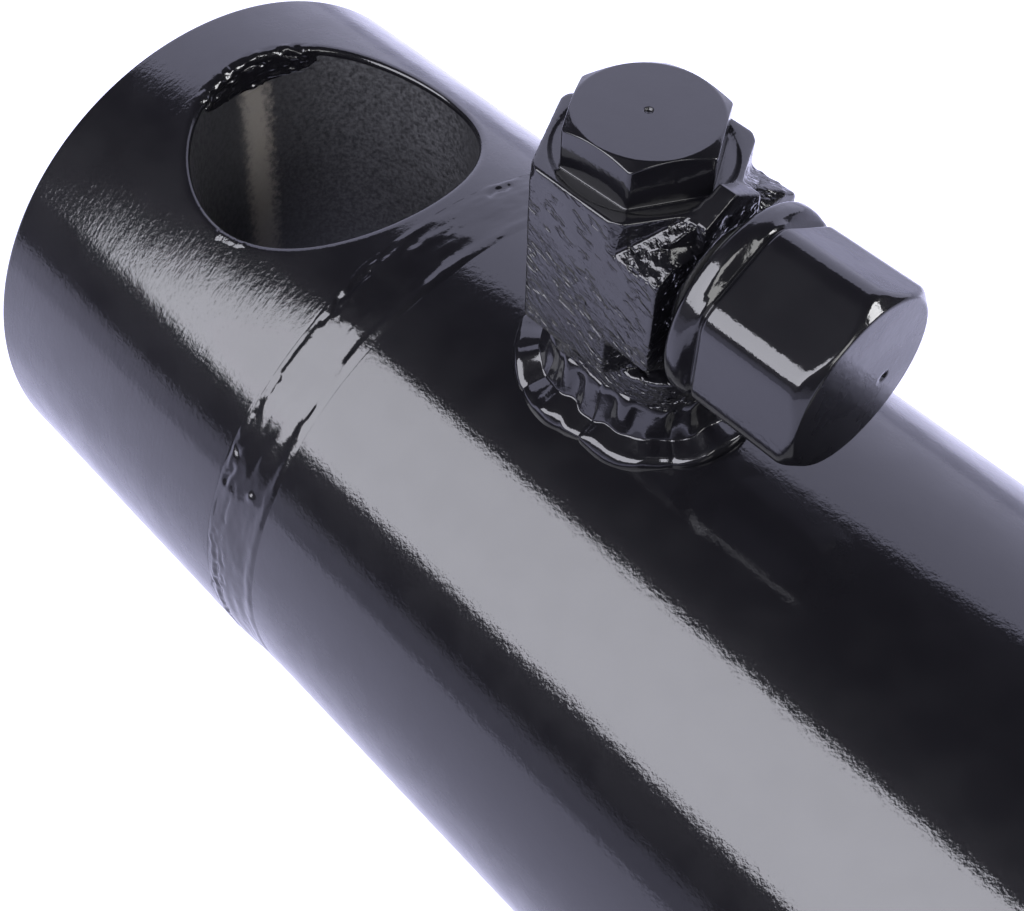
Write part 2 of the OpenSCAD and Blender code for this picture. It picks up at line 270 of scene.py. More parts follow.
def lofted(outline, profile_at, radius):
    """Rows of points along Z, where profile_at(r) gives the [radius, z] corners for an outline radius r."""
    columns = [rounded(profile_at(r), radius, steps=4, support=0.12 * MM) for r, _ in outline]
    rows = np.array(columns).transpose(1, 0, 2)
    return np.stack([
        rows[..., 0] * np.cos(outline[:, 1]),
        rows[..., 0] * np.sin(outline[:, 1]),
        rows[..., 1]], axis=-1)


# ---- materials ----

class Nodes:
    """Short ways to add and link shader nodes in one material."""

    def __init__(self, name):
        self.material = bpy.data.materials.new(name)
        self.material.use_nodes = True
        self.tree = self.material.node_tree
        self.shader = self.tree.nodes["Principled BSDF"]
        self.place = self.new("ShaderNodeTexCoord").outputs["Object"]

    def new(self, kind, **settings):
        node = self.tree.nodes.new(kind)
        for key, value in settings.items():
            setattr(node, key, value)
        return node

    def link(self, source, target):
        self.tree.links.new(source, target)

    def put(self, target, value):
        """Links an output to an input, or sets the input's own value."""
        if isinstance(value, bpy.types.NodeSocket):
            self.link(value, target)
        else:
            target.default_value = value

    def set(self, **values):
        """Sets shader inputs by name, with _ for a space."""
        for key, value in values.items():
            self.put(self.shader.inputs[key.replace("_", " ")], value)

    def math(self, operation, a, b=0.0):
        node = self.new("ShaderNodeMath", operation=operation)
        self.put(node.inputs[0], a)
        self.put(node.inputs[1], b)
        return node.outputs[0]

    def stretch(self, scale):
        """The object's coordinates, multiplied along each axis."""
        node = self.new("ShaderNodeMapping")
        self.link(self.place, node.inputs["Vector"])
        node.inputs["Scale"].default_value = scale
        return node.outputs[0]

    def slanted(self, degrees, sizes):
        """The object's coordinates turned about Y, then divided by a size along each axis."""
        node = self.new("ShaderNodeMapping", vector_type="TEXTURE")
        self.link(self.place, node.inputs["Vector"])
        node.inputs["Rotation"].default_value = (0, math.radians(degrees), 0)
        node.inputs["Scale"].default_value = sizes
        return node.outputs[0]

    def attribute(self, name):
        """A value stored with the mesh."""
        return self.new("ShaderNodeAttribute", attribute_name=name).outputs["Fac"]

    def around(self, along, across):
        """Coordinates (x * along, angle round X * across), for marks left by a lathe."""
        split = self.new("ShaderNodeSeparateXYZ")
        self.link(self.place, split.inputs[0])
        angle = self.math("ARCTAN2", split.outputs["Y"], split.outputs["Z"])
        join = self.new("ShaderNodeCombineXYZ")
        self.link(self.math("MULTIPLY", split.outputs["X"], along), join.inputs["X"])
        self.link(self.math("MULTIPLY", angle, across), join.inputs["Y"])
        return join.outputs[0]

    def noise(self, scale, detail=2.0, roughness=0.5, vector=None):
        node = self.new("ShaderNodeTexNoise")
        self.link(vector or self.place, node.inputs["Vector"])
        node.inputs["Scale"].default_value = scale
        node.inputs["Detail"].default_value = detail
        node.inputs["Roughness"].default_value = roughness
        return node.outputs["Fac"]

    def cells(self, scale):
        node = self.new("ShaderNodeTexVoronoi")
        self.link(self.place, node.inputs["Vector"])
        node.inputs["Scale"].default_value = scale
        return node.outputs["Distance"]

    def ramp(self, value, start, end, low_value=0.0, high_value=1.0):
        node = self.new("ShaderNodeMapRange", interpolation_type="SMOOTHSTEP")
        self.put(node.inputs["Value"], value)
        limits = {"From Min": start, "From Max": end, "To Min": low_value, "To Max": high_value}
        for key, number in limits.items():
            self.put(node.inputs[key], number)
        return node.outputs["Result"]

    def mix(self, factor, a, b):
        node = self.new("ShaderNodeMix", data_type="RGBA")
        self.put(node.inputs["Factor"], factor)
        self.put(node.inputs[6], a)
        self.put(node.inputs[7], b)
        return node.outputs[2]

    def bump(self, height, metres, after=None):
        """A bump whose height output of 1 stands for the given number of metres."""
        node = self.new("ShaderNodeBump")
        node.inputs["Strength"].default_value = 1.0
        node.inputs["Distance"].default_value = metres
        self.put(node.inputs["Height"], height)
        if after is not None:
            self.link(after, node.inputs["Normal"])
        return node.outputs["Normal"]


def paint(name, lathe_marks=0.0, bare_bore=False, hammered=0.0):
    """Thick gloss black paint.

    lathe_marks is the depth of turning marks that show through it, and hammered the depth of a forging's
    short slanting pits where the mesh's attribute "forged" is 1. bare_bore leaves the paint off where the
    attribute "bare" is 1 and adds a run of thick paint outside the bore's rim.
    """
    n = Nodes(name)
    shade = n.noise(45, 3)
    colour = n.mix(shade, (0.0018, 0.0017, 0.0023, 1), (0.0034, 0.0033, 0.0042, 1))
    n.set(Base_Color=colour, Roughness=n.ramp(n.noise(160, 4), 0.35, 0.7, 0.3, 0.45))
    n.set(Specular_IOR_Level=0.05, Coat_Weight=0.78, Coat_Roughness=0.03, Coat_IOR=1.5)
    peel = n.bump(n.noise(330, 2), 1.6e-5)
    peel = n.bump(n.noise(1250, 3, 0.65), 2.2e-5, peel)
    if lathe_marks:
        marks = n.noise(1.0, 3, 0.6, n.around(1150, 11))
        patch = n.ramp(n.noise(70, 2), 0.3, 0.62, 0.25, 1.0)
        peel = n.bump(n.math("MULTIPLY", marks, patch), lathe_marks, peel)
    if hammered:
        pits = n.ramp(n.noise(1.0, 2, 0.5, n.slanted(24, (0.003, 0.0017, 0.0012))), 0.48, 0.32)
        grain = n.noise(1.0, 3, 0.6, n.slanted(24, (0.0014, 0.001, 0.0007)))
        forged = n.attribute("forged")
        peel = n.bump(n.math("MULTIPLY", grain, forged), hammered * 0.45, peel)
        peel = n.bump(n.math("MULTIPLY", pits, forged), -hammered, peel)
    speck = n.ramp(n.cells(60), 0.022, 0.0)
    peel = n.bump(speck, 3e-5, peel)
    if bare_bore:
        peel = add_paint_run(n, peel)
    n.set(Normal=peel, Coat_Normal=peel)
    if bare_bore:
        add_bare_bore(n)
    return n.material


def add_paint_run(n, peel):
    """A short run of thick paint just outside the bore's rim, raised round a row of points."""
    first, last = Vector((1.9, -24.9, 45.0)) * MM, Vector((6.3, -23.8, 45.6)) * MM
    steps = 8
    nearest = 1.0
    for k in range(steps + 1):
        apart = n.new("ShaderNodeVectorMath", operation="DISTANCE")
        n.link(n.place, apart.inputs[0])
        apart.inputs[1].default_value = first.lerp(last, k / steps)
        nearest = n.math("MINIMUM", nearest, apart.outputs["Value"])
    ragged = n.math("MULTIPLY", n.math("SUBTRACT", n.noise(900, 3), 0.5), 1.2 * MM)
    return n.bump(n.ramp(n.math("ADD", nearest, ragged), 1.3 * MM, 0.2 * MM), 0.16 * MM, peel)


def add_bare_bore(n):
    """Shows a dark, thinly coated machined wall, with a painted highlight stripe, where the mesh's attribute
    "bare" is 1.
    """
    split = n.new("ShaderNodeSeparateXYZ")
    n.link(n.place, split.inputs[0])
    x, y, z = split.outputs
    mottle = n.math("SUBTRACT", n.noise(900, 4, 0.7), 0.5)
    # a painted highlight: a lighter upright stripe, with speckled edges, on the wall furthest from the rod,
    # standing in for light caught by the wall
    lean, offset = -0.06, 1.9 * MM
    leaning = n.math("ADD", y, n.math("ADD", n.math("MULTIPLY", z, lean), offset))
    side = n.math("ABSOLUTE", leaning)
    highlight_stripe = n.ramp(n.math("ADD", side, n.math("MULTIPLY", mottle, 0.006)), 0.0042, 0.001)
    highlight_stripe = n.math("MULTIPLY", highlight_stripe, n.ramp(x, 0.0, -0.01))
    # the rest is dark and mottled, and paler on the +Y side
    patch = n.math("MULTIPLY", n.ramp(y, 0.004, 0.018, 0.45, 1.0), n.ramp(x, 0.014, -0.004, 0.3, 1.0))
    spots = n.math("MULTIPLY", n.ramp(n.noise(1300, 4, 0.7), 0.3, 0.7), patch)
    dark_grey, pale_grey = (0.007, 0.007, 0.008, 1), (0.038, 0.038, 0.041, 1)
    # colours of the painted highlight stripe: grey, and brown mixed in by noise
    highlight_grey, highlight_brown = (0.085, 0.085, 0.09, 1), (0.1, 0.084, 0.062, 1)
    grey = n.mix(spots, dark_grey, pale_grey)
    highlight_tone = n.mix(n.noise(60, 3), highlight_grey, highlight_brown)
    wall = n.new("ShaderNodeBsdfPrincipled")
    # the painted highlight stripe laid over the mottled grey wall
    n.link(n.mix(highlight_stripe, grey, highlight_tone), wall.inputs["Base Color"])
    n.link(n.ramp(n.noise(1100, 3), 0.3, 0.7, 0.3, 0.5), wall.inputs["Roughness"])
    rings = n.noise(1.0, 3, 0.6, n.stretch((60, 60, 2600)))
    n.link(n.bump(rings, 2.5e-6, n.bump(n.noise(1400, 4, 0.7), 1.2e-5)), wall.inputs["Normal"])
    blend = n.new("ShaderNodeMixShader")
    n.link(n.ramp(n.attribute("bare"), 0.2, 0.8), blend.inputs[0])
    n.link(n.shader.outputs[0], blend.inputs[1])
    n.link(wall.outputs[0], blend.inputs[2])
    n.link(blend.outputs[0], n.tree.nodes["Material Output"].inputs["Surface"])


def steel(name, dark, light, roughness=(0.25, 0.4), marks=2e-6, along=2500):
    """Turned or ground steel with fine marks round the X axis."""
    n = Nodes(name)
    lines = n.noise(1.0, 4, 0.7, n.around(along, 3))
    n.set(Base_Color=n.mix(n.noise(120, 4), (*dark, 1), (*light, 1)), Metallic=1.0,
          Roughness=n.ramp(lines, 0.3, 0.7, *roughness), Normal=n.bump(lines, marks))
    return n.material


def moulded(name, dark, light, roughness=(0.45, 0.6), grain=8e-6):
    """Rubber or plastic with a faint moulded grain."""
    n = Nodes(name)
    n.set(Base_Color=n.mix(n.noise(220, 4), (*dark, 1), (*light, 1)),
          Roughness=n.ramp(n.noise(700, 3), 0.3, 0.7, *roughness), Normal=n.bump(n.noise(1500, 3), grain))
    return n.material


paint_plain = paint("gloss_black_paint")
paint_turned = paint("gloss_black_paint_turned", lathe_marks=2.6e-5, bare_bore=True)
paint_forged = paint("gloss_black_paint_forged", hammered=3e-4)
chrome = steel("hard_chrome", (0.62, 0.62, 0.63), (0.7, 0.7, 0.71), (0.05, 0.1), 4e-7, 4000)
turned_steel = steel("machined_steel", (0.32, 0.32, 0.33), (0.45, 0.45, 0.46))
black_oxide = steel("black_oxide_steel", (0.02, 0.02, 0.022), (0.05, 0.05, 0.055), (0.35, 0.5))
bush_steel = steel("bushing_steel", (0.22, 0.21, 0.2), (0.34, 0.33, 0.31), (0.28, 0.42))
zinc = steel("zinc_plated_steel", (0.5, 0.5, 0.48), (0.66, 0.66, 0.64), (0.2, 0.32))
rubber = moulded("black_rubber", (0.012, 0.012, 0.012), (0.022, 0.022, 0.022))
polyurethane = moulded("seal_polyurethane", (0.012, 0.045, 0.03), (0.02, 0.07, 0.045), (0.3, 0.42))
ptfe = moulded("ptfe_ivory", (0.6, 0.57, 0.48), (0.68, 0.65, 0.57), (0.4, 0.5))
resin = moulded("wear_ring_resin", (0.22, 0.15, 0.07), (0.34, 0.25, 0.13), (0.45, 0.6), 2e-5)
SLOT_MATERIALS = {
    "gloss_black_paint": paint_plain, "black_rubber": rubber, "seal_polyurethane": polyurethane,
    "ptfe_ivory": ptfe, "wear_ring_resin": resin, "machined_steel": turned_steel,
    "black_oxide_steel": black_oxide, "hard_chrome": chrome, "bushing_steel": bush_steel,
    "zinc_plated_steel": zinc}
PAINT = "gloss_black_paint"


# ---- base end ----

RIM = 1.6 * MM
CRUST = 4.4 * MM
CRUST_EDGE = 0.87


def crust_depth(polar):
    """How far down the bore's wall crusted paint reaches, at an angle from the rod's side."""
    facing = -np.cos(polar + math.radians(2))
    return CRUST * np.sqrt(np.clip((facing - CRUST_EDGE) / (1 - CRUST_EDGE), 0, 1))


def base_end():
    """Solid round bar, cut by the pin bore, with a softly rounded rim and end edge."""
    front = low("base_eye_weld")[0] + 1.4 * MM
    back = BASE_BACK + 1.6 * MM
    half = math.pi * BASE_R / 2
    side, length = 176, 60
    # the outline of half the bar's surface, unrolled flat, once round
    up = np.linspace(-half, half, side, endpoint=False)
    along = np.linspace(front, back, length, endpoint=False)
    edge = np.vstack([
        np.stack([np.full(side, front), up], axis=1),
        np.stack([along, np.full(length, half)], axis=1),
        np.stack([np.full(side, back), -up], axis=1),
        np.stack([along[::-1] + (back - front) / length, np.full(length, -half)], axis=1)])
    u = np.arctan2(edge[:, 1], edge[:, 0])
    hole = PIN_R + RIM
    start = np.stack([hole * np.cos(u), BASE_R * np.arcsin(hole * np.sin(u) / BASE_R)], axis=1)
    t = np.linspace(1, 0, 22)[:, None, None] ** 1.3
    flat = start + t * (edge - start)
    bend = flat[..., 1] / BASE_R
    top = np.stack([flat[..., 0], BASE_R * np.sin(bend), BASE_R * np.cos(bend)], axis=-1)
    # the rim, from the bar's surface round into the bore
    wall_x, wall_y = PIN_R * np.cos(u), PIN_R * np.sin(u)
    wall_z = np.sqrt(BASE_R**2 - wall_y**2)
    a = top[-1]
    corner = np.stack([wall_x, wall_y, wall_z], axis=1)
    b = np.stack([wall_x, wall_y, wall_z - RIM], axis=1)
    s = np.linspace(0, 1, 16)[1:, None, None]
    rim = (1 - s) ** 2 * a + 2 * s * (1 - s) * corner + s * s * b
    # paint has crusted over the rim and the wall below it, on the side away from the rod
    crust = crust_depth(u) * (1 + 0.25 * noise(corner, 2 * MM, 40))
    crusted = (smooth(0, 1 * MM, crust) * np.sqrt(s[..., 0]))[..., None]
    rim[..., :2] *= 1 - crusted * (0.15 * MM + 0.3 * MM * noise(rim, 0.9 * MM, 41)[..., None]) / PIN_R
    rim[..., 2:] += crusted * 0.4 * MM * noise(rim, 0.9 * MM, 43)[..., None]
    upper = np.concatenate([top, rim])
    # the wall, with close rows near the top
    down = np.concatenate([np.linspace(0.1, 5.2, 30) * MM, np.linspace(7, 90, 24) * MM])
    rows = []
    for step in down:
        z = np.maximum(b[:, 2] - step, -b[:, 2] + 0.3 * MM) if step > 40 * MM else b[:, 2] - step
        row = np.stack([b[:, 0], b[:, 1], z], axis=1)
        inside = smooth(0, 0.35 * MM, crust - step)
        lump = 0.22 * MM + 0.42 * MM * noise(row, (0.9 * MM, 0.9 * MM, 0.8 * MM), 41)
        row[:, :2] *= 1 - (inside * np.maximum(lump, 0.02 * MM) / PIN_R)[:, None]
        rows.append(row)
    wall = np.array(rows)
    lower = upper[::-1] * [1, 1, -1]
    shell = Shell().grid(np.concatenate([upper, wall, lower]))
    # the flat end with its rounded edge, and the bevelled spigot inside the tube
    angles = 2 * side
    bevel = 2 * MM
    end = rounded([[back, BASE_R], [BASE_BACK, BASE_R], [BASE_BACK, AXIS_R]], [0, 1.2 * MM, 0])
    end_rows = turned(stretched(end, 4 * MM), angles)
    shell.grid(end_rows).cap(end_rows[-1])
    spigot = [[front, BASE_R], [front + bevel, BORE_R],
              [BASE_FRONT - bevel, BORE_R], [BASE_FRONT, BORE_R - bevel]]
    spigot_rows = turned(spigot, angles)
    shell.grid(spigot_rows).cap(spigot_rows[-1])
    obj = shell.piece("base_end_bar", "barrel", "base_eye", PAINT, paint_turned)
    # bare wall: inside the bore, and below the crusted paint
    co = np.empty(len(obj.data.vertices) * 3, np.float32)
    obj.data.vertices.foreach_get("co", co)
    x, y, z = co.reshape(-1, 3).T
    wall_top = np.sqrt(np.maximum(BASE_R**2 - y**2, 0)) - RIM
    below = smooth(-0.3 * MM, 0.1 * MM, wall_top - crust_depth(np.arctan2(y, x)) - z)
    bare = np.where(np.hypot(x, y) < PIN_R + 0.04 * MM, below, 0)
    obj.data.attributes.new("bare", "FLOAT", "POINT").data.foreach_set("value", bare.astype(np.float32))


def base_weld():
    """The bead between base end and tube: nearly flush, grooved on one side and ridged on the other."""
    x0, x1 = low("base_eye_weld")[0], high("base_eye_weld")[0]
    columns, rows = 960, 60
    a = np.linspace(0, 2 * math.pi, columns, endpoint=False)
    ring = np.stack([np.zeros(columns), np.sin(a), np.cos(a)], axis=1) * BASE_R
    left = x0 + (0.6 + 0.45 * noise(ring, 9 * MM, 1) + 0.2 * noise(ring, 2.5 * MM, 2)) * MM
    right = x1 + (-0.45 + 0.3 * noise(ring, 11 * MM, 3)) * MM
    t = (0.5 - 0.5 * np.cos(np.linspace(0, math.pi, rows)))[:, None]
    x = left + (right - left) * t
    from_left, from_right = x - left, right - x
    spot = np.stack([x, np.broadcast_to(ring[:, 1], x.shape), np.broadcast_to(ring[:, 2], x.shape)], axis=-1)
    line = BASE_R + (TUBE_R - BASE_R) * smooth(0.1, 0.95, t)
    dive = -0.025 * MM * (np.exp(-(from_left / (0.5 * MM)) ** 2) + np.exp(-(from_right / (0.5 * MM)) ** 2))
    # torn grooves near the base end, a low ridge near the tube, smears between them and one drip
    cut = smooth(0.0, 0.55, noise(ring, 6 * MM, 5) + 0.35 * noise(ring, 1.8 * MM, 15) + 0.1)
    at_line = (1.9 + 0.7 * noise(ring, 6 * MM, 9) + 0.45 * noise(ring, 1.5 * MM, 10)) * MM
    groove = -0.27 * MM * np.exp(-((from_left - at_line) / (0.5 * MM)) ** 2) * cut
    second = np.roll(cut, 47) * smooth(-0.2, 0.5, noise(ring, 3 * MM, 16))
    groove -= 0.16 * MM * np.exp(-((from_left - at_line - 1.5 * MM) / (0.34 * MM)) ** 2) * second
    ridges = 0.09 * MM * np.exp(-((from_left - at_line + 0.95 * MM) / (0.4 * MM)) ** 2) * np.roll(cut, 9)
    seam = (1.5 + 0.35 * noise(ring, 8 * MM, 17)) * MM
    uneven = 0.75 + 0.5 * noise(ring, 5 * MM, 6)
    ridges += 0.16 * MM * np.exp(-((from_right - seam) / (0.8 * MM)) ** 2) * uneven
    smear = 0.1 * MM * noise(spot, (1.5 * MM, 6 * MM, 6 * MM), 7)
    smear += 0.035 * MM * noise(spot, (0.7 * MM, 2 * MM, 2 * MM), 8)
    drip_angle = math.radians(62)
    drip_at = np.array([33.0 * MM, -BASE_R * math.sin(drip_angle), BASE_R * math.cos(drip_angle)])
    drip = 0.3 * MM * np.exp(-(np.linalg.norm(spot - drip_at, axis=-1) / (0.6 * MM)) ** 2)
    middle_part = smooth(0, 1.2 * MM, from_left) * smooth(0, 1.2 * MM, from_right)
    radius = line + 0.03 * MM * middle_part + dive + (groove + ridges + smear) * middle_part + drip
    radius = np.minimum(radius, high("base_eye_weld")[2])
    outer = np.stack([x, radius * np.sin(a), radius * np.cos(a)], axis=-1)
    # the hidden side: inwards from the tube's edge, and out again at the base end's
    root_r = BORE_R + 1.2 * MM
    hidden = ((-1, TUBE_R - 0.6 * MM), (-1, root_r), (0, root_r), (0, BASE_R - 0.6 * MM))
    inner = [np.stack([x[k], r * np.sin(a), r * np.cos(a)], axis=-1) for k, r in hidden]
    shell = Shell().grid(np.concatenate([outer, inner]), wrap_rows=True)
    shell.piece("base_weld_bead", "barrel", "base_eye_weld", PAINT, paint_plain)


def barrel_tube():
    """The plain tube, open at both ends, with a bevel under the base weld."""
    corners = [[TUBE_START, BORE_R], [TUBE_START, BORE_R + 1 * MM], [TUBE_START + 5.6 * MM, TUBE_R],
               [TUBE_END, TUBE_R], [TUBE_END, BORE_R]]
    wall = rounded(corners, [0.4 * MM, 0.4 * MM, 0.1 * MM, 0.8 * MM, 0.8 * MM], closed=True)
    shell = Shell().grid(turned(stretched(wall, 12 * MM), 384), wrap_rows=True)
    shell.piece("barrel_tube_painted", "barrel", "barrel_tube", PAINT, paint_plain)


base_end()
base_weld()
barrel_tube()


# ---- ports ----

NECK_R = 10.5 * MM
NECK_REACH = 7.0 * MM
FOOT_W = 4.9 * MM
FOOT_H = 8.5 * MM
ELBOW_CORNER_R = 14.66 * MM
SPOT_FACE_R = 12 * MM
WAY_R = 8 * MM
PLUG_SHANK = 9 * MM


class Port:
    """Where one port's pieces are: the base port looks towards +X, and the head port is its mirror."""

    def __init__(self, prefix):
        self.prefix = prefix
        self.x = middle(prefix + "_top_plug")[0]
        self.sign = 1 if middle(prefix + "_side_plug")[0] > self.x else -1
        self.top = high(prefix + "_top_plug")[2]
        self.seat = low(prefix + "_top_plug")[2] + PLUG_SHANK
        self.side_z = middle(prefix + "_side_plug")[2]
        self.reach = self.furthest("_side_plug")
        self.face = self.furthest("_elbow")

    def furthest(self, part):
        """How far along X a CAD node of this port reaches from the port's axis."""
        node = self.prefix + part
        return max(abs(low(node)[0] - self.x), abs(high(node)[0] - self.x))

    def world(self, points):
        """Port coordinates (x from the port's axis, towards its side branch) to frame coordinates."""
        return np.asarray(points) * [self.sign, 1, 1] + [self.x, 0, 0]


def elbow(port):
    """Forged elbow: its CAD solid remeshed finely, pebbled all over except on the two machined faces."""
    node = port.prefix + "_elbow"
    source = frame["nodes"][node]
    obj = bpy.data.objects.new("remeshing", source.data.copy())
    bpy.context.scene.collection.objects.link(obj)
    remesh = obj.modifiers.new("remesh", "REMESH")
    remesh.mode = "VOXEL"
    remesh.voxel_size = 0.3 * MM
    relax = obj.modifiers.new("relax", "SMOOTH")
    relax.factor, relax.iterations = 0.5, 9
    shaped = obj.evaluated_get(bpy.context.evaluated_depsgraph_get())
    data = bpy.data.meshes.new_from_object(shaped)
    bpy.data.objects.remove(obj)
    count = len(data.vertices)
    co = np.empty(count * 3, np.float32)
    normal = np.empty(count * 3, np.float32)
    data.vertices.foreach_get("co", co)
    data.vertices.foreach_get("normal", normal)
    co, normal = co.reshape(-1, 3).astype(float), normal.reshape(-1, 3).astype(float)
    local = (co - [port.x, 0, 0]) * [port.sign, 1, 1]
    # the machined faces and the drilled ways stay smooth
    below_seat = smooth(0.1 * MM, 0.7 * MM, port.seat + 0.5 * MM - local[:, 2])
    behind_face = smooth(0.3 * MM, 0.8 * MM, port.face - local[:, 0])
    from_bore = np.hypot(local[:, 0], local[:, 1])
    from_branch = np.hypot(local[:, 1], local[:, 2] - port.side_z)
    off_face = smooth(SPOT_FACE_R, SPOT_FACE_R + 0.5 * MM, from_bore)
    off_bore = np.where(local[:, 2] > port.seat - 2 * MM, off_face, 1)
    off_bore *= smooth(WAY_R, WAY_R + 0.6 * MM, from_bore)
    off_branch = smooth(WAY_R, WAY_R + 0.6 * MM, from_branch)
    off_branch = np.where(local[:, 0] > 2 * MM, off_branch, 1)
    rough = below_seat * behind_face * off_bore * off_branch
    # hammer marks are deeper low down and far from the side branch, and coarse on the sloping faces
    depth = 0.35 + 0.65 * smooth(-7 * MM, 8 * MM, port.side_z - local[:, 2] - local[:, 0] * 0.5)
    sloping = smooth(0.3, 0.6, normal[:, 2]) * smooth(0.4, 0.2, np.abs(normal[:, 0]))
    coarse = 0.12 * noise(local, 0.7 * MM, 14) * sloping
    swell = 0.1 * noise(local, 5 * MM, 13) + 0.03 * noise(local, 1.7 * MM, 15)
    co += normal * (rough * (coarse + swell) * MM)[:, None]
    # the corners are rounded off at the top
    limit = ELBOW_CORNER_R - 0.55 * MM * smooth(-3 * MM, 0.5 * MM, local[:, 2] - port.seat)
    shrink = np.where(local[:, 2] > port.seat - 3 * MM, np.minimum(1, limit / np.maximum(from_bore, 1e-6)), 1)
    shrink = np.where((local[:, 0] > 0) & (np.abs(local[:, 1]) < 5 * MM), 1, shrink)
    co[:, 0] = port.x + (co[:, 0] - port.x) * shrink
    co[:, 1] *= shrink
    forged = data.attributes.new("forged", "FLOAT", "POINT")
    forged.data.foreach_set("value", (rough * np.maximum(depth, sloping)).astype(np.float32))
    data.vertices.foreach_set("co", co.astype(np.float32).ravel())
    data.update()
    place(node + "_forging", data, "barrel", node, PAINT, paint_forged)


def foot_weld(port):
    """Lumpy fillet round the elbow's neck, poured in short lobes that run down to the tube."""
    arc, straight = math.pi * NECK_R, NECK_REACH
    total = 2 * (arc + straight)
    columns, rows = 560, 48
    s = np.linspace(0, total, columns, endpoint=False)
    # the neck's outline: a half circle, a straight side, a half circle and a straight side
    angle = np.select([s < arc, s < arc + straight, s < 2 * arc + straight],
                      [s / NECK_R, math.pi, math.pi + (s - arc - straight) / NECK_R], 2 * math.pi)
    shift = np.select([s < arc, s < arc + straight, s < 2 * arc + straight],
                      [NECK_REACH, NECK_REACH - (s - arc), 0], s - 2 * arc - straight)
    out = np.stack([np.sin(angle), -np.cos(angle)], axis=1)
    path = out * NECK_R + np.stack([shift, np.zeros(columns)], axis=1)
    mark = np.stack([path[:, 0], path[:, 1], np.zeros(columns)], axis=1)
    lobes = 8
    along = s + 1.6 * MM * noise(mark, 9 * MM, 20)
    lobe = np.abs(np.sin(math.pi * lobes * along / total)) ** 0.7
    width = FOOT_W * (0.88 + 0.14 * lobe + 0.1 * noise(mark, 6 * MM, 21))
    height = FOOT_H * (0.92 + 0.1 * lobe + 0.12 * noise(mark, 7 * MM, 23))
    u = np.linspace(0, 1, rows)[:, None] ** 0.85
    # a steep rise against the neck, then a level terrace that ends in a short steep toe
    terrace = (1.5 + 0.5 * (1 - u) ** 2) * MM * (1 + 0.1 * lobe)
    rise = terrace * (1 - u**14) ** 0.5 + (height - 2 * MM) * np.clip(1 - u / 0.27, 0, 1) ** 1.3
    reach = width * u
    spot = np.concatenate([np.broadcast_to(mark[:, :2], (rows, columns, 2)), rise[..., None]], axis=2)
    belly = np.clip(12 * u * (1 - u), 0, 1) ** 0.5
    rise = rise + belly * (0.5 * lobe - 0.3) * MM
    lumps = 0.42 * noise(spot, (2.3 * MM, 2.3 * MM, 4 * MM), 25) + 0.12 * noise(spot, 1.1 * MM, 27)
    rise = rise + belly * lumps * MM
    reach = reach + belly * 0.5 * MM * noise(spot, (2 * MM, 2 * MM, 5 * MM), 26)
    reach[0] = -0.7 * MM
    flat = path + out * reach[..., None]
    ground = np.sqrt(TUBE_R**2 - flat[..., 1] ** 2)
    rise[-1] = -0.6 * MM
    outer = np.concatenate([flat, (ground + rise)[..., None]], axis=2)
    under = outer[:1].copy()
    under[..., 2] = np.sqrt(TUBE_R**2 - under[..., 1] ** 2) - 1.2 * MM
    shell = Shell().grid(port.world(np.concatenate([outer, under])), wrap_rows=True)
    node = port.prefix + "_weld"
    shell.piece(node + "_bead", "barrel", node, PAINT, paint_plain)


def top_plug(port):
    """Hexagon plug with a chamfered top and a small centre mark."""
    node = port.prefix + "_top_plug"
    flats = (high(node) - low(node))[1]
    height = port.top - port.seat
    top_r = flats / 2 - 0.15 * MM
    outline = hexagon(flats, 0.45 * MM, turn=math.radians(2.5))

    def corners(r):
        drop = (r - top_r) * math.tan(math.radians(30))
        return [[0.3 * MM, 0], [r + 0.3 * MM, 0], [r + 0.04 * MM, 0.1 * MM],
                [r, 0.45 * MM], [r, height - drop], [top_r, height],
                [0.6 * MM, height], [0.45 * MM, height - 0.3 * MM], [CENTRE_R, height - 0.4 * MM]]

    rows = lofted(outline, corners, 0.18 * MM) + [0, 0, port.seat]
    shell = Shell().grid(port.world(rows)).cap(port.world(rows[0])).cap(port.world(rows[-1]))
    shell.piece(node + "_head", "barrel", node, PAINT, paint_plain)


